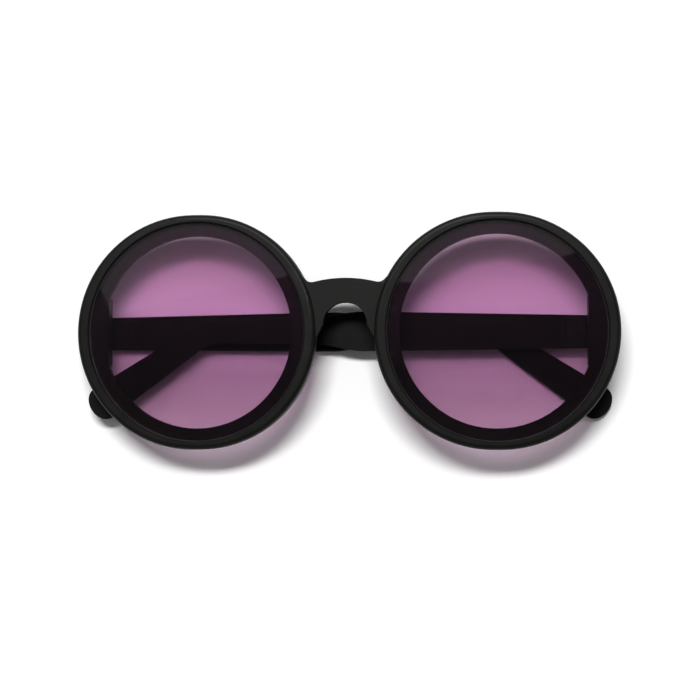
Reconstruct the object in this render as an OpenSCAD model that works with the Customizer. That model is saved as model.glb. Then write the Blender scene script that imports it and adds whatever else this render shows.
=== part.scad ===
// Round sunglasses, folded and lying on the outer face of one temple with the lenses up.
// X runs across the front, Y up towards the brow, Z up from the table. Millimetres.
// The left side is modelled, and the right side is its mirror image.

/* [Front] */
// Width over both rims
front_w = 145; // [140:0.5:150]
// Height of each rim
rim_h = 62.8; // [61:0.2:64]
// Extra width of each rim over its height
rim_flat = 2.2; // [1:0.2:3]
// Thickness of each rim from back to front
front_t = 4.2; // [4:0.1:5]
// Face form: how far each rim leans back towards its temple, in degrees
wrap = 2.5; // [1:0.5:3]
// Radius of the rim's outer edge at the front
bezel_round = 1.3; // [0.8:0.1:1.6]
// Radius of the rim's outer edge at the back
back_round = 0.8; // [0.5:0.1:1]

/* [Lenses] */
// Width of the rim around each lens
bezel_w = 2.2; // [1.8:0.1:2.6]
// Lens thickness
lens_t = 1.8; // [1.6:0.1:2]
// Radius of the lens's back face
lens_curve_r = 265; // [200:5:400]
// Depth of the lens's edge below the rim's front face
lens_set = 0.7; // [0.4:0.1:0.9]
// Width of the ledge behind each lens
ledge_w = 3.5; // [2.6:0.1:5]
// Clearance around the lens
lens_gap = 0.05; // [0.03:0.01:0.1]

/* [Bridge] */
// Height of the bridge's crown over the lens centres
bridge_top = 14.1; // [13:0.1:15]
// Radius of the bridge's crown
bridge_top_r = 34; // [30:1:40]
// Radius between bridge and rim
bridge_fillet_r = 2.4; // [2:0.1:3]
// Radius of the arch over the nose
arch_r = 5.9; // [5.5:0.1:6.2]
// Height of the arch's centre over the lens centres
arch_y = 1.7; // [1:0.1:2.5]
// Thickness of the bridge from back to front
bridge_t = 3; // [2.6:0.1:3.4]
// Height of the bridge's back face over the rims' back at the nose
bridge_back = 0.1; // [0:0.05:0.3]

/* [Nose pads] */
// Thickness of a pad
pad_t = 3.6; // [3:0.1:4]
// Radius of a pad's two bulged faces
pad_face_r = 12; // [11:0.5:14]
// Depth of a pad behind the rim
pad_depth = 4.2; // [3.5:0.1:4.5]
// Angle below the lens's level at which a pad stands on the rim, in degrees
pad_angle = 14; // [10:1:20]
// Flare of a pad away from the nose, in degrees
pad_flare = 16; // [10:1:20]

/* [Hinges] */
// Depth of the hinge axis behind the rim's back
hinge_depth = 3; // [3:0.1:3.4]
// Radius of the hinge's knuckles
knuckle_r = 1.3; // [1.2:0.05:1.35]
// Height of one knuckle
knuckle_h = 1.42; // [1.3:0.02:1.5]
// Gap between two knuckles
knuckle_gap = 0.08; // [0.05:0.01:0.12]
// Number of knuckles, of which the temple has the odd ones
knuckle_count = 5; // [3:2:5]
// Radius of the hinge screw's shank
screw_r = 0.66; // [0.6:0.02:0.7]
// Clearance of the screw in the knuckles
screw_gap = 0.04; // [0.02:0.01:0.06]
// Thickness of the hinge plates
plate_t = 0.8; // [0.6:0.1:0.9]
// Thickness of the hinge land behind the rim
land_t = 1.4; // [1.2:0.1:1.6]
// Height of the hinge land
land_h = 18; // [17:0.5:19]
// Distance of the hinge land's inner edge from the end of the front
land_l = 8.6; // [8:0.1:9.5]
// Angle beyond square to which the temples open, in degrees
splay = 10; // [5:1:12]

/* [Temples] */
// Thickness of a temple at its hinge
temple_t = 2.75; // [2.7:0.05:2.9]
// Thickness lost per millimetre towards the tip
temple_taper = 0.0078; // [0.006:0.0002:0.009]
// Distance between the hinge axis and the temple's inner face
temple_gap = 1.45; // [1.4:0.05:1.5]
// Distance from the hinge to the end of the broad part
broad_l = 64; // [60:0.5:66]
// Distance from the hinge to the start of the ear part
ear_start = 78; // [74:0.5:80]
// Distance from the hinge to the ear bend
bend_start = 102.5; // [98:0.5:104]
// Angle of the ear bend, in degrees
bend_angle = 34.2; // [30:0.2:40]
// Radius of the ear bend along the middle of the temple
bend_r = 14; // [12:0.5:20]
// Length of the straight tip after the bend
tip_l = 30; // [26:0.5:32]
// Half the width of the tip at its end
tip_r = 4.6; // [4:0.1:5]
// Length of the tip's rounded end
tip_end = 3.4; // [2.8:0.1:4.2]
// Droop of the left temple away from the front, in degrees
left_fold = 1.25; // [1.25:0.05:1.6]
// Rise of the right temple towards the front, in degrees
right_fold = 0.88; // [0.88:0.02:1.1]

/* [Hidden] */
$fn = 96;

// Front
rim_r = rim_h / 2;
lens_x = (front_w - rim_h - rim_flat) / 2;
lens_r = rim_r - bezel_w;
opening_r = lens_r - ledge_w;
seat_z = front_t - lens_set - lens_t;
lens_centre_z = seat_z - sqrt(pow(lens_curve_r, 2) - pow(lens_r, 2));
inner_chamfer = 0.35;
pad_in = 1.6;
leg_in = 1.5;
leg_low = -1.5;
arc_steps = 8;

// Hinge, measured from its axis: the opened temple ends flush with the front's end
temple_out = temple_gap + temple_t;
hinge_x = front_w / 2 - temple_out;
land_x = front_w / 2 - land_l;
land_z = hinge_depth - land_t;
land_in = 0.5;
lug_in = knuckle_r + 0.35;
lug_h = 10;
butt_gap = 0.15;
plate_in = -0.9;
front_plate_out = hinge_x - land_x - 0.5;
web_in = screw_r + 0.2;
web_l = 1.34;
temple_plate_end = 10.6;
plate_gap = 0.03;
hinge_h = knuckle_count * knuckle_h + (knuckle_count - 1) * knuckle_gap;
plate_h = hinge_h;
washer_t = 0.2;
washer_r = 1.15;
head_h = 0.5;
head_r = 1.15;
slot_w = 0.3;

// Small screws that hold the plates
small_r = 0.5;
small_l = 2.1;
small_head_r = 0.95;
small_head_h = 0.4;
front_screw_x = 2.7;
front_screw_y = 2.1;
temple_screw_x = [4.2, 8.4];

// Temple outline, measured from the hinge: height of the edges over the hinge's level
top_root = 4.3;
top_broad = 5.65;
top_ear = 4.15;
top_bend = 3.3;
low_root = -4.35;
low_broad = -5;
low_ear = -2.95;
low_bend = -2.9;
bend_y = (top_bend + low_bend) / 2;
bend_w = top_bend - low_bend;
bend_centre = [bend_start, bend_y - bend_r];

// Core wire inside the temple
core_w = 2.2;
core_t = 0.9;
core_start = 13;
core_tip_l = 21;
core_wall = 0.5;
core_gap = 0.03;

// The left temple's outer face lies on the table, so the front leans with it
lean = left_fold - atan(temple_taper);
axis_x = -hinge_x * cos(wrap) + hinge_depth * sin(wrap);
axis_z = -hinge_x * sin(wrap) - hinge_depth * cos(wrap);
face_x = axis_x - temple_out * sin(left_fold);
face_z = axis_z - temple_out * cos(left_fold);
rest_h = -(face_x * sin(lean) + face_z * cos(lean));

function ease(from, to, t) = from + (to - from) * (1 - cos(180 * t)) / 2;
function at(from, to, t) = from + (to - from) * t;

// Places the front as it stands over the table
module rest() {
  translate([0, 0, rest_h]) rotate([0, -lean, 0]) children();
}

// One side of the front, leaning back by the face form: "left" or its mirror image
module on_side(side) {
  rest() mirror([side == "right" ? 1 : 0, 0, 0]) children();
}

module rim_frame() {
  rotate([0, -wrap, 0]) children();
}

// The hinge's frame: the axis along Y, the folded temple along +X, the front above
module hinge_frame() {
  rim_frame() translate([-hinge_x, 0, -hinge_depth]) children();
}

// The temple's frame, turned down from the front by angle
module temple_frame(angle) {
  translate([axis_x, 0, axis_z]) rotate([0, angle, 0]) children();
}

module folded_temple(side) {
  on_side(side) temple_frame(side == "left" ? left_fold : -right_fold) children();
}

// Front frame

module rim_profile() {
  square([rim_r - bezel_round, front_t]);
  translate([0, back_round]) square([rim_r, front_t - back_round - bezel_round]);
  square([rim_r - back_round, front_t - bezel_round]);
  translate([rim_r - bezel_round, front_t - bezel_round]) circle(bezel_round);
  translate([rim_r - back_round, back_round]) circle(back_round);
}

module rim_blank() {
  for (turn = [0, 180])
    rotate([0, 0, turn]) translate([rim_flat / 2, 0, 0])
      rotate([0, 0, -90]) rotate_extrude(angle = 180) rim_profile();
  rotate([90, 0, 90]) linear_extrude(rim_flat, center = true) {
    rim_profile();
    mirror([1, 0]) rim_profile();
  }
}

module lens_pocket() {
  pocket_r = lens_r + lens_gap;
  difference() {
    union() {
      cylinder(r = pocket_r, h = front_t + 1);
      translate([0, 0, front_t - inner_chamfer])
        cylinder(r1 = pocket_r, r2 = pocket_r + inner_chamfer + 1, h = inner_chamfer + 1);
    }
    translate([0, 0, lens_centre_z]) sphere(lens_curve_r - lens_gap, $fn = 200);
  }
}

// The ledge's opening is cut straight where the hinge land crosses it
module lens_opening() {
  difference() {
    translate([0, 0, -land_t - 1]) cylinder(r = opening_r, h = front_t + land_t + 2);
    translate([lens_x - land_x - 2 * opening_r, -opening_r, -land_t - 2])
      cube([2 * opening_r, 2 * opening_r, front_t + land_t + 4]);
  }
}

// The land that the hinge's plate is let into, and the lug that stops the opened temple
module hinge_land() {
  intersection() {
    union() {
      translate([-temple_out, -land_h / 2, land_z]) cube([front_w / 2 - land_x, land_h, land_t + land_in]);
      translate([-temple_out, -lug_h / 2, 0]) cube([temple_out - lug_in, lug_h, land_z + land_in]);
    }
    translate([hinge_x - lens_x, 0, -1]) cylinder(r = rim_r + rim_flat / 2, h = front_t + hinge_depth);
  }
}

module front_side() {
  difference() {
    union() {
      rim_frame() translate([-lens_x, 0, 0]) rim_blank();
      difference() {
        hinge_frame() hinge_land();
        temple_frame(90 + splay)
          translate([-butt_gap, -lug_h, -2 * temple_out]) cube([2 * temple_out, 2 * lug_h, 2 * temple_out]);
      }
    }
    rim_frame() translate([-lens_x, 0, 0]) {
      lens_pocket();
      lens_opening();
    }
    hinge_frame() {
      translate([plate_in - plate_gap, -plate_h / 2 - plate_gap, land_z - 1])
        cube([front_plate_out - plate_in + 2 * plate_gap, plate_h + 2 * plate_gap, plate_t + plate_gap + 1]);
      for (y = [-1, 1] * front_screw_y)
        translate([front_screw_x, y, land_z]) cylinder(r = small_r + plate_gap, h = small_l);
    }
  }
}

// Points of an arc from one angle to another
function arc(centre, r, from, to, steps) =
  [for (i = [0:steps]) centre + r * [cos(at(from, to, i / steps)), sin(at(from, to, i / steps))]];

// Angle of the direction from one point to another
function heading(from, to) = atan2(to.y - from.y, to.x - from.x);

// Outline of the bridge: legs on the rims, a fillet on each side, the crown and the arch under it
module bridge_outline() {
  crown = [0, bridge_top - bridge_top_r];
  rim = [lens_x - rim_flat / 2, 0];
  crown_reach = bridge_top_r + bridge_fillet_r;
  rim_reach = rim_r + bridge_fillet_r;
  span = norm(rim - crown);
  along = (rim - crown) / span;
  foot = (pow(crown_reach, 2) - pow(rim_reach, 2) + pow(span, 2)) / (2 * span);
  rise = sqrt(pow(crown_reach, 2) - pow(foot, 2));
  fillet = crown + foot * along + rise * [-along.y, along.x];
  to_rim = heading(fillet, rim);
  right = concat(
    [
      [arch_r, arch_y],
      [rim.x - rim_r + leg_in / 10, leg_low],
      [rim.x - rim_r + leg_in, leg_low],
      rim + (rim_r - leg_in) * [-cos(to_rim), -sin(to_rim)]
    ],
    arc(fillet, bridge_fillet_r, to_rim, heading(fillet, crown), arc_steps),
    arc(crown, bridge_top_r, heading(crown, fillet), 90, arc_steps)
  );
  difference() {
    polygon(concat(right, [for (i = [len(right) - 2:-1:0]) [-right[i].x, right[i].y]]));
    translate([0, arch_y]) circle(arch_r);
  }
}

module bridge() {
  difference() {
    translate([0, 0, bridge_back]) linear_extrude(bridge_t) bridge_outline();
    for (side = [0, 1])
      mirror([side, 0, 0]) rim_frame() translate([-lens_x, 0, -1]) cylinder(r = lens_r + 1, h = front_t + 2);
  }
}

module front_frame() {
  color([0.03, 0.03, 0.03]) rest() union() {
    front_side();
    mirror([1, 0, 0]) front_side();
    bridge();
  }
}

module lens(side) {
  color([0.45, 0.2, 0.45, 0.6]) on_side(side) rim_frame() translate([-lens_x, 0, 0])
    intersection() {
      cylinder(r = lens_r, h = 2 * front_t);
      translate([0, 0, lens_centre_z]) difference() {
        sphere(lens_curve_r + lens_t, $fn = 200);
        sphere(lens_curve_r, $fn = 200);
      }
    }
}

// A lentil cut flat where it is bonded to the rim's back
module nose_pad(side) {
  face_z = pad_face_r - pad_t / 2;
  pad_r = sqrt(pow(pad_face_r, 2) - pow(face_z, 2));
  color([0.05, 0.05, 0.05]) on_side(side) rim_frame() translate([-lens_x, 0, 0])
    intersection() {
      rotate([0, 0, -pad_angle]) translate([rim_r - pad_in, 0, pad_r - pad_depth]) rotate([0, 90 + pad_flare, 0])
        rotate_extrude() intersection() {
          translate([0, face_z]) circle(pad_face_r);
          translate([0, -face_z]) circle(pad_face_r);
          translate([0, -pad_t]) square([pad_face_r, 2 * pad_t]);
        }
      translate([0, -rim_r, -2 * pad_depth]) cube([2 * rim_r, 2 * rim_r, 2 * pad_depth]);
    }
}

// Hinges

function knuckle_y(i) = -hinge_h / 2 + i * (knuckle_h + knuckle_gap);

// Knuckles first, first + 2 and so on, each joined to its plate by a web
module knuckles(first, web_from, web_to) {
  for (i = [first:2:knuckle_count - 1])
    difference() {
      union() {
        translate([0, knuckle_y(i), 0]) rotate([-90, 0, 0]) cylinder(r = knuckle_r, h = knuckle_h);
        translate([web_from.x, knuckle_y(i), web_from.y])
          cube([web_to.x - web_from.x, knuckle_h, web_to.y - web_from.y]);
      }
      translate([0, knuckle_y(i) - 1, 0]) rotate([-90, 0, 0]) cylinder(r = screw_r + screw_gap, h = knuckle_h + 2);
    }
}

module front_leaf(side) {
  color([0.08, 0.08, 0.08]) on_side(side) hinge_frame() {
    difference() {
      translate([plate_in, -plate_h / 2, land_z])
        cube([front_plate_out - plate_in, plate_h, plate_t]);
      for (y = [-1, 1] * front_screw_y)
        translate([front_screw_x, y, land_z - 1]) cylinder(r = small_r + plate_gap, h = plate_t + 2);
    }
    knuckles(1, [plate_in, web_in], [knuckle_r, land_z + plate_t / 2]);
  }
}

module temple_leaf(side) {
  color([0.08, 0.08, 0.08]) folded_temple(side) {
    difference() {
      translate([web_in, -plate_h / 2, -temple_gap - plate_t])
        cube([temple_plate_end - web_in, plate_h, plate_t]);
      for (x = temple_screw_x)
        translate([x, 0, -temple_gap - plate_t - 1]) cylinder(r = small_r + plate_gap, h = plate_t + 2);
    }
    knuckles(0, [web_in, -temple_gap - plate_t / 2], [web_in + web_l, 0]);
  }
}

// Low headed slotted screw, its shank pointing down from the underside of the head
module small_screw() {
  translate([0, 0, -small_l]) cylinder(r = small_r, h = small_l);
  difference() {
    cylinder(r = small_head_r, h = small_head_h);
    translate([-small_head_r - 1, -slot_w / 2, small_head_h / 2])
      cube([2 * small_head_r + 2, slot_w, small_head_h]);
  }
}

module front_leaf_screws(side) {
  color([0.12, 0.12, 0.12]) on_side(side) hinge_frame()
    for (y = [-1, 1] * front_screw_y)
      translate([front_screw_x, y, land_z]) rotate([180, 0, 0]) small_screw();
}

module temple_leaf_screws(side) {
  color([0.12, 0.12, 0.12]) folded_temple(side)
    for (x = temple_screw_x)
      translate([x, 0, -temple_gap]) small_screw();
}

module hinge_screw(side) {
  color([0.12, 0.12, 0.12]) folded_temple(side) {
    translate([0, -hinge_h / 2 - washer_t, 0]) rotate([-90, 0, 0]) cylinder(r = screw_r, h = hinge_h + 2 * washer_t);
    translate([0, hinge_h / 2 + washer_t, 0]) rotate([-90, 0, 0]) difference() {
      cylinder(r = head_r, h = head_h);
      translate([-head_r - 1, -slot_w / 2, head_h / 2]) cube([2 * head_r + 2, slot_w, head_h]);
    }
  }
}

module screw_washer(side) {
  color("white") folded_temple(side)
    translate([0, hinge_h / 2, 0]) rotate([-90, 0, 0]) difference() {
      cylinder(r = washer_r, h = washer_t);
      translate([0, 0, -1]) cylinder(r = screw_r + screw_gap, h = washer_t + 2);
    }
}

// Temples

// Edge of the temple before the bend, from the hinge outwards
function temple_edge(root, broad, ear) = concat(
  [[0, root], [broad_l, broad]],
  [for (i = [1:arc_steps]) [at(broad_l, ear_start, i / arc_steps), ease(broad, ear, i / arc_steps)]]
);

function reversed(points) = [for (i = [len(points) - 1:-1:0]) points[i]];

// A point of the straight tip, from its distance past the bend and its height over the middle
function tip_point(along, across) =
  bend_centre + along * [cos(bend_angle), -sin(bend_angle)]
  + (bend_r + across) * [sin(bend_angle), cos(bend_angle)];

// The bend and the straight tip, from width w to an end that is round over end_l and 2 * end_r wide
function bent_end(w, l, end_l, end_r) = concat(
  arc(bend_centre, bend_r - w / 2, 90, 90 - bend_angle, arc_steps),
  [for (p = arc([0, 0], 1, -90, 90, 2 * arc_steps)) tip_point(l + end_l * p.x, end_r * p.y)],
  arc(bend_centre, bend_r + w / 2, 90 - bend_angle, 90, arc_steps)
);

// The core wire, or with a gap the channel that holds it
module core(gap) {
  w = core_w + 2 * gap;
  translate([0, 0, -temple_gap - core_wall - core_t - gap]) linear_extrude(core_t + 2 * gap)
    polygon(concat(
      [[core_start - gap, bend_y - w / 2]],
      bent_end(w, core_tip_l, w / 2, w / 2),
      [[core_start - gap, bend_y + w / 2]]
    ));
}

module temple(side) {
  length = bend_start + bend_r + tip_l + tip_r;
  color([0.03, 0.03, 0.03]) folded_temple(side) difference() {
    intersection() {
      translate([0, 0, -temple_out - 1]) linear_extrude(temple_t + 2) polygon(concat(
        temple_edge(low_root, low_broad, low_ear),
        bent_end(bend_w, tip_l, tip_end, tip_r),
        reversed(temple_edge(top_root, top_broad, top_ear))
      ));
      rotate([90, 0, 0]) linear_extrude(4 * bend_r, center = true) polygon([
        [0, -temple_gap],
        [0, -temple_out],
        [length, -temple_out + temple_taper * length],
        [length, -temple_gap]
      ]);
    }
    translate([web_in - plate_gap, -plate_h / 2 - plate_gap, -temple_gap - plate_t - plate_gap])
      cube([temple_plate_end - web_in + 2 * plate_gap, plate_h + 2 * plate_gap, 2 * plate_t]);
    for (x = temple_screw_x)
      translate([x, 0, -temple_gap - small_l - plate_gap]) cylinder(r = small_r + plate_gap, h = small_l);
    core(core_gap);
  }
}

module temple_core(side) {
  color("silver") folded_temple(side) core(0);
}

front_frame();
lens("left");  // left_lens
lens("right");  // right_lens
nose_pad("left");  // left_nose_pad
nose_pad("right");  // right_nose_pad
front_leaf("left");  // left_front_leaf
front_leaf("right");  // right_front_leaf
front_leaf_screws("left");  // left_front_leaf_screws
front_leaf_screws("right");  // right_front_leaf_screws
temple("left");  // left_temple
temple("right");  // right_temple
temple_core("left");  // left_temple_core
temple_core("right");  // right_temple_core
temple_leaf("left");  // left_temple_leaf
temple_leaf("right");  // right_temple_leaf
temple_leaf_screws("left");  // left_temple_leaf_screws
temple_leaf_screws("right");  // right_temple_leaf_screws
hinge_screw("left");  // left_hinge_screw
hinge_screw("right");  // right_hinge_screw
screw_washer("left");  // left_screw_washer
screw_washer("right");  // right_screw_washer
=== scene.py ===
# %% [markdown]
# # Round sunglasses with purple lenses
# A pair of round full-rim sunglasses lies folded on a white table, with the lenses up. The solid
# model gives every piece its place and size: the front, two lenses, two nose pads, two folding
# temples with a wire inside, and the hinges with their screws. This script gives those pieces
# their looks. It starts by loading the model as a fixed frame.

# %% Load the frame
import math

import bmesh
import bpy
from mathutils import Matrix, Vector


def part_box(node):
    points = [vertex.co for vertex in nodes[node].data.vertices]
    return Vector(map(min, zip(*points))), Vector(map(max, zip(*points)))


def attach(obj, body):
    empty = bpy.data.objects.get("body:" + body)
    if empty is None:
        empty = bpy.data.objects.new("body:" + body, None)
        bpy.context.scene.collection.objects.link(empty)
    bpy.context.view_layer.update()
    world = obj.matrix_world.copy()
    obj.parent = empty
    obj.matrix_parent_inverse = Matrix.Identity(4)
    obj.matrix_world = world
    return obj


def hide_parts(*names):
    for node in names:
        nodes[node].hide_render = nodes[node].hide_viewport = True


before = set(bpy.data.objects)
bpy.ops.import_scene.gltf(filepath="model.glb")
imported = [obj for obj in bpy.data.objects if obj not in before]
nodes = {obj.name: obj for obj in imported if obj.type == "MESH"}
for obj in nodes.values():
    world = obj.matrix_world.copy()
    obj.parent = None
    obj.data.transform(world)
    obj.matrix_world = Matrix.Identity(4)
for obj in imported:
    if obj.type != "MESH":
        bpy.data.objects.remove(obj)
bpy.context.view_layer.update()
MM = 0.001


# %% [markdown]
# ## Helpers for materials
# Every finish below is a small graph of shader nodes. Such a graph can be built by hand in the
# editor, but in a script four helpers keep it short: one starts an empty material, two add nodes
# with their numbers set, and one joins sockets. A colour ramp turns a noise between 0 and 1
# into the colours or roughnesses of a real surface.

# %% Short helpers for materials
def new_material(name):
    material = bpy.data.materials.new(name)
    material.use_nodes = True
    material.node_tree.nodes.clear()
    return material


def shader(material, name, **values):
    """A node of a material, with numbers or colours set on its own sockets."""
    node = material.node_tree.nodes.new(name)
    for key, value in values.items():
        node.inputs[key.replace("_", " ")].default_value = value
    return node


def maths(material, operation, kind="ShaderNodeMath"):
    """A node that works out one number."""
    node = material.node_tree.nodes.new(kind)
    node.operation = operation
    return node


def link(material, *pairs):
    for start, end in pairs:
        material.node_tree.links.new(start, end)


def ramp(material, stops):
    """A colour ramp through (position, grey or colour) stops."""
    node = material.node_tree.nodes.new("ShaderNodeValToRGB")
    elements = node.color_ramp.elements
    while len(elements) < len(stops):
        elements.new(0.5)
    for element, (position, colour) in zip(elements, stops):
        element.position = position
        element.color = (*colour, 1) if isinstance(colour, tuple) else (colour, colour, colour, 1)
    return node


# %% [markdown]
# ## White table
# The glasses lie on white paper. A stronger lamp would make the paper white, but it would also
# wash out the black plastic. So the paper is a plain pale diffuse surface for all light that
# falls on the glasses, and a second diffuse layer is added for the rays that show the paper to
# the eye, straight, in a reflection or through a lens. It is diffuse too, so shadows stay.

# %% White table
TABLE_HALF = 3
bm = bmesh.new()
bmesh.ops.create_grid(bm, x_segments=2, y_segments=2, size=TABLE_HALF)
table_mesh = bpy.data.meshes.new("table")
bm.to_mesh(table_mesh)
bm.free()
table = bpy.data.objects.new("table", table_mesh)
bpy.context.scene.collection.objects.link(table)

PAPER = 0.8
SEEN_EXTRA = 0.31
paper = new_material("white_paper")
paper_out = shader(paper, "ShaderNodeOutputMaterial")
plain = shader(paper, "ShaderNodeBsdfDiffuse", Color=(PAPER, PAPER, PAPER, 1))
extra = shader(paper, "ShaderNodeBsdfDiffuse")
both = shader(paper, "ShaderNodeAddShader")
rays = shader(paper, "ShaderNodeLightPath")
either = maths(paper, "MAXIMUM")
seen = maths(paper, "MAXIMUM")
white = shader(paper, "ShaderNodeMapRange", To_Max=SEEN_EXTRA)
link(
    paper,
    (rays.outputs["Is Camera Ray"], either.inputs[0]),
    (rays.outputs["Is Glossy Ray"], either.inputs[1]),
    (either.outputs[0], seen.inputs[0]),
    (rays.outputs["Is Transmission Ray"], seen.inputs[1]),
    (seen.outputs[0], white.inputs["Value"]),
    (white.outputs["Result"], extra.inputs["Color"]),
    (plain.outputs["BSDF"], both.inputs[0]),
    (extra.outputs["BSDF"], both.inputs[1]),
    (both.outputs["Shader"], paper_out.inputs["Surface"]),
)
table_mesh.materials.append(paper)
print("table", 2 * TABLE_HALF, "m wide")

# %% [markdown]
# ## Camera
# The glasses were photographed from above. A camera could be turned by hand until the picture
# fits. Here its place and turns come from fitting the two rims' outlines: 45 cm up, a little to
# the right, with an 85 mm lens, which gives the same slight widening of the right rim.

# %% Camera
CAMERA_PLACE = Vector((32.96, -20.02, 449.04)) * MM
CAMERA_TURNS = (4.16, 1.97, -0.06)
camera_data = bpy.data.cameras.new("camera")
camera_data.sensor_width = 36
camera_data.lens = 85
camera = bpy.data.objects.new("camera", camera_data)
bpy.context.scene.collection.objects.link(camera)
bpy.context.scene.camera = camera
camera.location = CAMERA_PLACE
yaw, pitch, roll = (math.radians(a) for a in CAMERA_TURNS)
turn = Matrix.Rotation(yaw, 3, "Y") @ Matrix.Rotation(pitch, 3, "X") @ Matrix.Rotation(roll, 3, "Z")
camera.rotation_euler = turn.to_euler()
print("camera", [round(c, 4) for c in camera.location], "lens", camera_data.lens)


# %% [markdown]
# ## Lights
# One soft lamp at the top of the picture throws the shadows under the rims and the temples. It
# stays low enough that the domed lenses don't mirror it. A dim panel over the glasses lights
# nearly nothing and is there to be mirrored in the upper part of the lenses. The sky is plain
# grey, much lighter low down than overhead, and the same for every kind of ray.

# %% Lamps
def softbox(name, distance, elevation, azimuth, width, height, power):
    """A rectangular lamp aimed at the glasses; azimuth 0 is the top of the picture."""
    data = bpy.data.lights.new(name, "AREA")
    data.shape, data.size, data.size_y, data.energy = "RECTANGLE", width, height, power
    lamp = bpy.data.objects.new(name, data)
    bpy.context.scene.collection.objects.link(lamp)
    up, round_ = math.radians(elevation), math.radians(azimuth)
    level = distance * math.cos(up)
    lamp.location = (level * math.sin(round_), level * math.cos(round_), distance * math.sin(up))
    lamp.rotation_euler = lamp.location.to_track_quat("Z", "Y").to_euler()
    print(name, [round(c, 2) for c in lamp.location], power, "W")
    return lamp


softbox("key_light", distance=3.0, elevation=62, azimuth=-8, width=1.5, height=0.42, power=81)
softbox("dim_panel", distance=1.6, elevation=68, azimuth=-10, width=1.8, height=0.6, power=0.9)

# %% Sky
LOW_SKY = (0.45, 0.30)
HIGH_SKY = (0.9, 0.05)
world = bpy.data.worlds.new("studio")
bpy.context.scene.world = world
world.use_nodes = True
sky_place = shader(world, "ShaderNodeTexCoord")
sky_axes = shader(world, "ShaderNodeSeparateXYZ")
sky_level = shader(
    world, "ShaderNodeMapRange",
    From_Min=LOW_SKY[0], From_Max=HIGH_SKY[0], To_Min=LOW_SKY[1], To_Max=HIGH_SKY[1],
)
background = world.node_tree.nodes["Background"]
background.inputs["Color"].default_value = (1, 1, 1, 1)
link(
    world,
    (sky_place.outputs["Generated"], sky_axes.inputs["Vector"]),
    (sky_axes.outputs["Z"], sky_level.inputs["Value"]),
    (sky_level.outputs["Result"], background.inputs["Strength"]),
)
bpy.context.scene.view_settings.view_transform = "Standard"
print("sky strength", LOW_SKY[1], "low down and", HIGH_SKY[1], "overhead")


# %% [markdown]
# ## Moulded plastic and black lacquer
# Front, temples and pads are matt black plastic. Light from the top of the picture makes the
# upper rims greyer than the lower ones, so the plastic needs a broad sheen more than a bright
# colour. A fine grain from the mould breaks the sheen, and faint clouds in the roughness stand
# for handling. Both follow the piece's own coordinates, so they turn with it. The hinge leaves
# and screws are taken to be lacquered black, because no bright metal shows at the temples'
# ends. That is a guess. Black lacquer looks much like the plastic, with less grain.

# %% Plastic and lacquer
CLOUD_DARK = 0.85
CLOUD_LIGHT = 1.15
GLOSS_SPREAD = 0.04
GRAIN_DEPTH = 0.02 * MM


def plastic(name, colour, roughness, grain, shine):
    """Dark moulded plastic; shine is its specular level and grain the height of its texture."""
    material = new_material(name)
    out = shader(material, "ShaderNodeOutputMaterial")
    bsdf = shader(material, "ShaderNodeBsdfPrincipled", IOR=1.5, Specular_IOR_Level=shine)
    place = shader(material, "ShaderNodeTexCoord")
    clouds = shader(material, "ShaderNodeTexNoise", Scale=140.0, Detail=3.0, Roughness=0.55)
    speckle = shader(material, "ShaderNodeTexNoise", Scale=5200.0, Detail=2.0, Roughness=0.5)
    dark, light = (tuple(share * c for c in colour) for share in (CLOUD_DARK, CLOUD_LIGHT))
    tint = ramp(material, [(0.3, dark), (0.7, light)])
    gloss = ramp(material, [(0.3, roughness - GLOSS_SPREAD), (0.7, roughness + GLOSS_SPREAD)])
    bump = shader(material, "ShaderNodeBump", Strength=grain, Distance=GRAIN_DEPTH)
    link(
        material,
        (place.outputs["Object"], clouds.inputs["Vector"]),
        (place.outputs["Object"], speckle.inputs["Vector"]),
        (clouds.outputs["Fac"], tint.inputs["Fac"]),
        (clouds.outputs["Fac"], gloss.inputs["Fac"]),
        (tint.outputs["Color"], bsdf.inputs["Base Color"]),
        (gloss.outputs["Color"], bsdf.inputs["Roughness"]),
        (speckle.outputs["Fac"], bump.inputs["Height"]),
        (bump.outputs["Normal"], bsdf.inputs["Normal"]),
        (bsdf.outputs["BSDF"], out.inputs["Surface"]),
    )
    print(name, "roughness", roughness, "grain", grain, "shine", shine)
    return material


front_plastic = plastic("matt_black_front", (0.0054, 0.0055, 0.0049), 0.44, 0.25, 0.15)
# The temples are the same plastic as the front. Their copy is darker and less shiny: painted shade
# for the front's shadow on the folded temples.
shaded_temple_plastic = plastic("matt_black_temple_painted_shade", (0.0042, 0.0043, 0.0040), 0.42, 0.25, 0.10)
pad_plastic = plastic("pad_plastic", (0.010, 0.010, 0.010), 0.38, 0.15, 0.20)
hinge_lacquer = plastic("black_lacquer_on_metal", (0.0050, 0.0050, 0.0046), 0.38, 0.1, 0.13)
screw_lacquer = plastic("black_screw_lacquer", (0.0065, 0.0065, 0.006), 0.32, 0.08, 0.2)


# %% [markdown]
# ## Lenses
# The lenses are polycarbonate dyed purple. How the dye runs can't be told apart from shadow in
# one picture, so the dye is a guess: a little stronger at the brow. The darker step below the
# middle is painted shade for the shadow that the folded temples throw on the paper under the lens.
# What is seen through a lens takes the tint once on its way to the eye, and the paper under it is
# lit through it as well. The colour goes on the glass shader, and a see-through shader with the
# square root of the same tint stands in for rays from the lamps, because such a ray meets both
# faces of the lens. So the lens throws a pink shadow and not a black one. The rim of a real lens
# is ground, which makes it rough; its near-black colour here is painted shade for the edge in the
# frame's dark seat.

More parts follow.
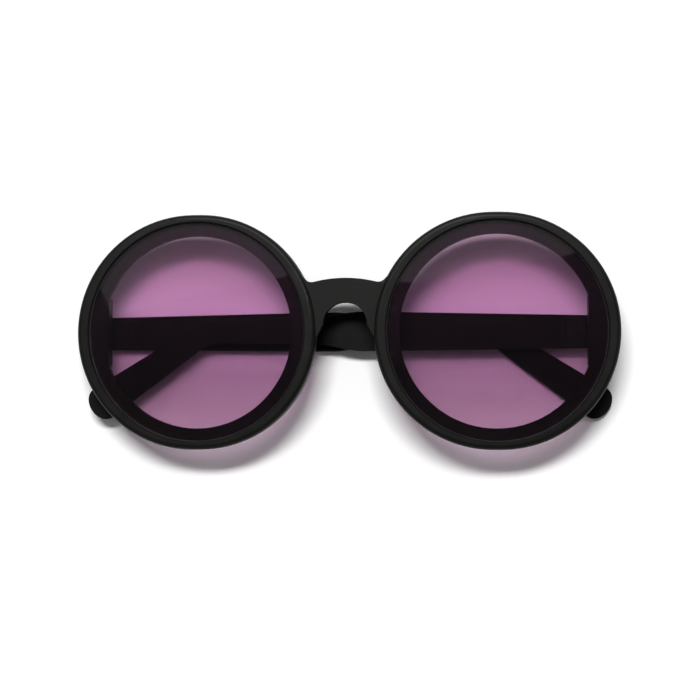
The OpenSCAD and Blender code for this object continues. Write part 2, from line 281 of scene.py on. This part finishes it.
# %% Lens material
# The darker stop at 0.30 is painted shade for the folded temples' shadow on the paper under the
# lens; the darker stop at 0.98 is the guessed dye at the brow.
TINT_AND_PAINTED_SHADE = [
    (0.02, (0.44, 0.315, 0.40)),
    (0.30, (0.33, 0.215, 0.295)),
    (0.62, (0.455, 0.30, 0.425)),
    (0.98, (0.41, 0.25, 0.36)),
]
# Near-black colour of the lens rim: painted shade for the edge sitting in the frame's dark seat.
# The roughness below is the real grinding.
EDGE_PAINTED_SHADE = (0.01, 0.006, 0.008)
GROUND_ROUGH = 0.9
GROUND_WIDTH = 0.2 * MM


def tinted_glass(name, low, high, stops, centre, edge_r):
    """Glass tinted along Y by stops holding painted shade; past edge_r, a rough rim painted dark as
    shade.
    """
    material = new_material(name)
    out = shader(material, "ShaderNodeOutputMaterial")
    glass = shader(material, "ShaderNodeBsdfPrincipled", IOR=1.58, Transmission_Weight=1.0)
    through = shader(material, "ShaderNodeBsdfTransparent")
    lamps = shader(material, "ShaderNodeMixShader")
    rays = shader(material, "ShaderNodeLightPath")
    place = shader(material, "ShaderNodeTexCoord")
    axes = shader(material, "ShaderNodeSeparateXYZ")
    height = shader(material, "ShaderNodeMapRange", From_Min=low, From_Max=high)
    tint = ramp(material, stops)
    half = shader(material, "ShaderNodeGamma", Gamma=0.5)
    mirrored = maths(material, "ABSOLUTE")
    flat = shader(material, "ShaderNodeCombineXYZ")
    reach = maths(material, "DISTANCE", "ShaderNodeVectorMath")
    reach.inputs[1].default_value = (centre, 0, 0)
    # This mask picks the rim, which gets the real ground roughness and the painted-shade colour.
    rough_and_shaded_edge = maths(material, "GREATER_THAN")
    rough_and_shaded_edge.inputs[1].default_value = edge_r
    body = material.node_tree.nodes.new("ShaderNodeMix")
    body.data_type = "RGBA"
    body.inputs["B"].default_value = (*EDGE_PAINTED_SHADE, 1)
    frosted = shader(material, "ShaderNodeMapRange", To_Max=GROUND_ROUGH)
    link(
        material,
        (place.outputs["Object"], axes.inputs["Vector"]),
        (axes.outputs["Y"], height.inputs["Value"]),
        (height.outputs["Result"], tint.inputs["Fac"]),
        (axes.outputs["X"], mirrored.inputs[0]),
        (mirrored.outputs[0], flat.inputs["X"]),
        (axes.outputs["Y"], flat.inputs["Y"]),
        (flat.outputs["Vector"], reach.inputs[0]),
        (reach.outputs["Value"], rough_and_shaded_edge.inputs[0]),
        (rough_and_shaded_edge.outputs[0], body.inputs["Factor"]),
        (rough_and_shaded_edge.outputs[0], frosted.inputs["Value"]),
        (tint.outputs["Color"], body.inputs["A"]),
        (body.outputs["Result"], glass.inputs["Base Color"]),
        (frosted.outputs["Result"], glass.inputs["Roughness"]),
        (tint.outputs["Color"], half.inputs["Color"]),
        (half.outputs["Color"], through.inputs["Color"]),
        (rays.outputs["Is Shadow Ray"], lamps.inputs["Fac"]),
        (glass.outputs["BSDF"], lamps.inputs[1]),
        (through.outputs["BSDF"], lamps.inputs[2]),
        (lamps.outputs["Shader"], out.inputs["Surface"]),
    )
    return material


lens_low, lens_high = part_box("left_lens")
lens_x = abs(lens_low.x + lens_high.x) / 2
lens_r = (lens_high.y - lens_low.y) / 2
lens_glass = tinted_glass(
    "purple_lens", lens_low.y, lens_high.y, TINT_AND_PAINTED_SHADE, lens_x, lens_r - GROUND_WIDTH
)
print("tint runs over", round(2 * lens_r / MM, 1), "mm")


# %% [markdown]
# ## Core wires and washers
# Two pieces can't be seen while the glasses are whole: the drawn steel wire in each temple, and
# most of the nylon washer under each hinge screw. Drawing leaves fine lines along a wire. They
# could be modelled, but at this size a noise stretched along the wire does as well, and it
# drives the roughness and a faint bump. Natural nylon lets a little light into its surface.

# %% Wire and nylon materials
LINES_DARK = 0.82
LINES_GLOSS = 0.12
LINES_DEPTH = 0.01 * MM
NYLON_DEPTH = 0.3 * MM


def drawn_wire(name, colour, roughness, stretch):
    """Metal with fine lines along the axis where stretch is small."""
    material = new_material(name)
    out = shader(material, "ShaderNodeOutputMaterial")
    bsdf = shader(material, "ShaderNodeBsdfPrincipled", Metallic=1.0)
    place = shader(material, "ShaderNodeTexCoord")
    fit = shader(material, "ShaderNodeMapping", Scale=stretch)
    lines = shader(material, "ShaderNodeTexNoise", Scale=1.0, Detail=4.0, Roughness=0.6)
    tint = ramp(material, [(0.25, tuple(LINES_DARK * c for c in colour)), (0.75, colour)])
    gloss = ramp(material, [(0.2, roughness - LINES_GLOSS), (0.8, roughness + LINES_GLOSS)])
    bump = shader(material, "ShaderNodeBump", Strength=0.2, Distance=LINES_DEPTH)
    link(
        material,
        (place.outputs["Object"], fit.inputs["Vector"]),
        (fit.outputs["Vector"], lines.inputs["Vector"]),
        (lines.outputs["Fac"], tint.inputs["Fac"]),
        (lines.outputs["Fac"], gloss.inputs["Fac"]),
        (lines.outputs["Fac"], bump.inputs["Height"]),
        (tint.outputs["Color"], bsdf.inputs["Base Color"]),
        (gloss.outputs["Color"], bsdf.inputs["Roughness"]),
        (bump.outputs["Normal"], bsdf.inputs["Normal"]),
        (bsdf.outputs["BSDF"], out.inputs["Surface"]),
    )
    return material


def nylon(name):
    material = new_material(name)
    out = shader(material, "ShaderNodeOutputMaterial")
    bsdf = shader(
        material, "ShaderNodeBsdfPrincipled",
        Roughness=0.45, Subsurface_Weight=0.2, Subsurface_Scale=NYLON_DEPTH,
    )
    place = shader(material, "ShaderNodeTexCoord")
    clouds = shader(material, "ShaderNodeTexNoise", Scale=2500.0, Detail=2.0)
    tint = ramp(material, [(0.3, (0.74, 0.72, 0.66)), (0.7, (0.82, 0.81, 0.76))])
    link(
        material,
        (place.outputs["Object"], clouds.inputs["Vector"]),
        (clouds.outputs["Fac"], tint.inputs["Fac"]),
        (tint.outputs["Color"], bsdf.inputs["Base Color"]),
        (bsdf.outputs["BSDF"], out.inputs["Surface"]),
    )
    return material


wire_steel = drawn_wire("drawn_steel", (0.58, 0.57, 0.55), 0.3, (400, 9000, 9000))
washer_nylon = nylon("natural_nylon")
print("wire and nylon:", wire_steel.name, washer_nylon.name)

# %% [markdown]
# ## A finish for every piece
# Left and right pieces of a pair are made of the same stuff, so the finish is looked up by the
# node's name without its side.

# %% Give each CAD node its material
FINISHES = {
    "front_frame": front_plastic,
    "lens": lens_glass,
    "nose_pad": pad_plastic,
    "front_leaf": hinge_lacquer,
    "front_leaf_screws": screw_lacquer,
    "temple": shaded_temple_plastic,
    "temple_core": wire_steel,
    "temple_leaf": hinge_lacquer,
    "temple_leaf_screws": screw_lacquer,
    "hinge_screw": screw_lacquer,
    "screw_washer": washer_nylon,
}
for name, node in nodes.items():
    kind = name if name == "front_frame" else name.split("_", 1)[1]
    for slot in node.material_slots:
        slot.material = FINISHES[kind]
print("finished nodes", len(nodes))


# %% [markdown]
# ## Copies with rounded edges
# Moulded plastic has no knife edges, but the solid model keeps some square. A Bevel modifier on
# the CAD node would round its loose triangles badly. So the front and the temples are shown by
# merged copies of their own solids, in which only chosen corners are bevelled. Faces that meet
# at a clear angle keep a sharp edge between them, and the others are shaded smoothly.

# %% Helpers for rounded copies
MERGE_DISTANCE = 0.0001 * MM
FLAT_ANGLE = math.radians(0.02)
SHARP_ANGLE = math.radians(35)


def merged_copy(node):
    """The node's mesh with its split corners joined and its flat faces whole."""
    bm = bmesh.new()
    bm.from_mesh(node.data)
    bmesh.ops.transform(bm, matrix=node.matrix_world, verts=bm.verts)
    bmesh.ops.remove_doubles(bm, verts=bm.verts, dist=MERGE_DISTANCE)
    bmesh.ops.dissolve_limit(bm, angle_limit=FLAT_ANGLE, verts=bm.verts, edges=bm.edges)
    return bm


def sticks_out(edge, least_angle):
    """Whether an edge is an outer corner sharper than an angle in degrees."""
    return len(edge.link_faces) == 2 and edge.calc_face_angle_signed(0) > math.radians(least_angle)


def middle_of(edge):
    return (edge.verts[0].co + edge.verts[1].co) / 2


def rounded(bm, edges, width, segments):
    bmesh.ops.bevel(
        bm, geom=edges, offset=width, offset_type="OFFSET", segments=segments,
        profile=0.5, affect="EDGES", clamp_overlap=True, material=-1,
    )


def piece(bm, name, material, body, slot, *stands_for):
    """Make the bmesh an object that rides on a body and replaces CAD nodes."""
    open_edges = sum(not edge.is_manifold for edge in bm.edges)
    print(name, len(bm.faces), "faces, open edges", open_edges)
    mesh = bpy.data.meshes.new(name)
    bmesh.ops.recalc_face_normals(bm, faces=bm.faces)
    for face in bm.faces:
        face.smooth = True
    for edge in bm.edges:
        edge.smooth = edge.calc_face_angle(math.pi) < SHARP_ANGLE
    bm.to_mesh(mesh)
    bm.free()
    if "custom_normal" in mesh.attributes:
        mesh.attributes.remove(mesh.attributes["custom_normal"])
    mesh.materials.append(material)
    made = bpy.data.objects.new(name, mesh)
    bpy.context.scene.collection.objects.link(made)
    even = made.modifiers.new("flat_faces_stay_flat", "WEIGHTED_NORMAL")
    even.keep_sharp = True
    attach(made, body)
    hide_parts(*stands_for)
    return made


# %% [markdown]
# ## Front
# The front is one moulding: two rims, the keyhole bridge between them and the lands that carry
# the hinges. Polishing takes the corners off the lip round each lens and off the bridge with
# its arch. The rims' outer edges are round in the solid already. The corners at the back stay
# as they are, because the hinge leaves fit there.

# %% Front with rounded corners
FRONT_ROUND = 0.14 * MM
FRONT_CORNER = 25
POLISHED_DEPTH = 3.6 * MM
LIP_REACH = 1.2 * MM
BRIDGE_HALF = 11 * MM
polished_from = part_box("front_frame")[1].z - POLISHED_DEPTH


def lip_or_bridge(point):
    """Front corners: the lip round each lens, and the bridge with its arch."""
    if point.z < polished_from:
        return False
    from_lens = math.hypot(abs(point.x) - lens_x, point.y) - lens_r
    return abs(from_lens) < LIP_REACH or abs(point.x) < BRIDGE_HALF


bm = merged_copy(nodes["front_frame"])
corners = [e for e in bm.edges if sticks_out(e, FRONT_CORNER) and lip_or_bridge(middle_of(e))]
print("front", len(bm.faces), "faces, corners to round", len(corners))
rounded(bm, corners, FRONT_ROUND, 3)
piece(bm, "front_shown", front_plastic, "front", "frame", "front_frame")


# %% [markdown]
# ## Temples
# The temples are moulded bars with softly rounded outer edges and a slight break on the inner
# ones. Each side of a bar is found as the widest flat face that looks that way, and the edges
# round it are bevelled. The edges round the hinge leaf stay square, because the leaf sits
# flush between them.

# %% Rounded temples
OUTER_ROUND = 0.8 * MM
INNER_ROUND = 0.35 * MM
TEMPLE_CORNER = 40
FLUSH = 0.01 * MM
LOOKS_ALONG = 0.99
SAME_PLANE = 0.9999
LEAF_MARGIN = Vector((0.3, 0.3, 0.3)) * MM


def outline_edges(bm, direction, skip=None):
    """Edges of the widest flat face that looks along a direction, but none in the box to skip."""
    facing = [face for face in bm.faces if face.normal.dot(direction) > LOOKS_ALONG]
    widest = max(facing, key=lambda face: face.calc_area())
    outwards = widest.normal.copy()
    level = widest.verts[0].co.dot(outwards)
    found = []
    for edge in bm.edges:
        flat = any(face.normal.dot(outwards) > SAME_PLANE for face in edge.link_faces)
        if not (flat and sticks_out(edge, TEMPLE_CORNER)):
            continue
        if any(abs(v.co.dot(outwards) - level) > FLUSH for v in edge.verts):
            continue
        middle = middle_of(edge)
        if skip and all(skip[0][k] < middle[k] < skip[1][k] for k in range(3)):
            continue
        found.append(edge)
    return found


for side in ("left", "right"):
    bm = merged_copy(nodes[f"{side}_temple"])
    flattest = max(bm.faces, key=lambda face: face.calc_area())
    down = flattest.normal.copy()
    if down.z > 0:
        down.negate()
    low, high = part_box(f"{side}_temple_leaf")
    outer = outline_edges(bm, down)
    inner = outline_edges(bm, -down, (low - LEAF_MARGIN, high + LEAF_MARGIN))
    print(side, "temple edges", len(outer), len(inner), "of", len(bm.edges), "faces", len(bm.faces))
    rounded(bm, outer, OUTER_ROUND, 5)
    rounded(bm, [e for e in inner if e.is_valid], INNER_ROUND, 3)
    piece(bm, f"{side}_temple_shown", shaded_temple_plastic, f"{side}_temple", "frame", f"{side}_temple")
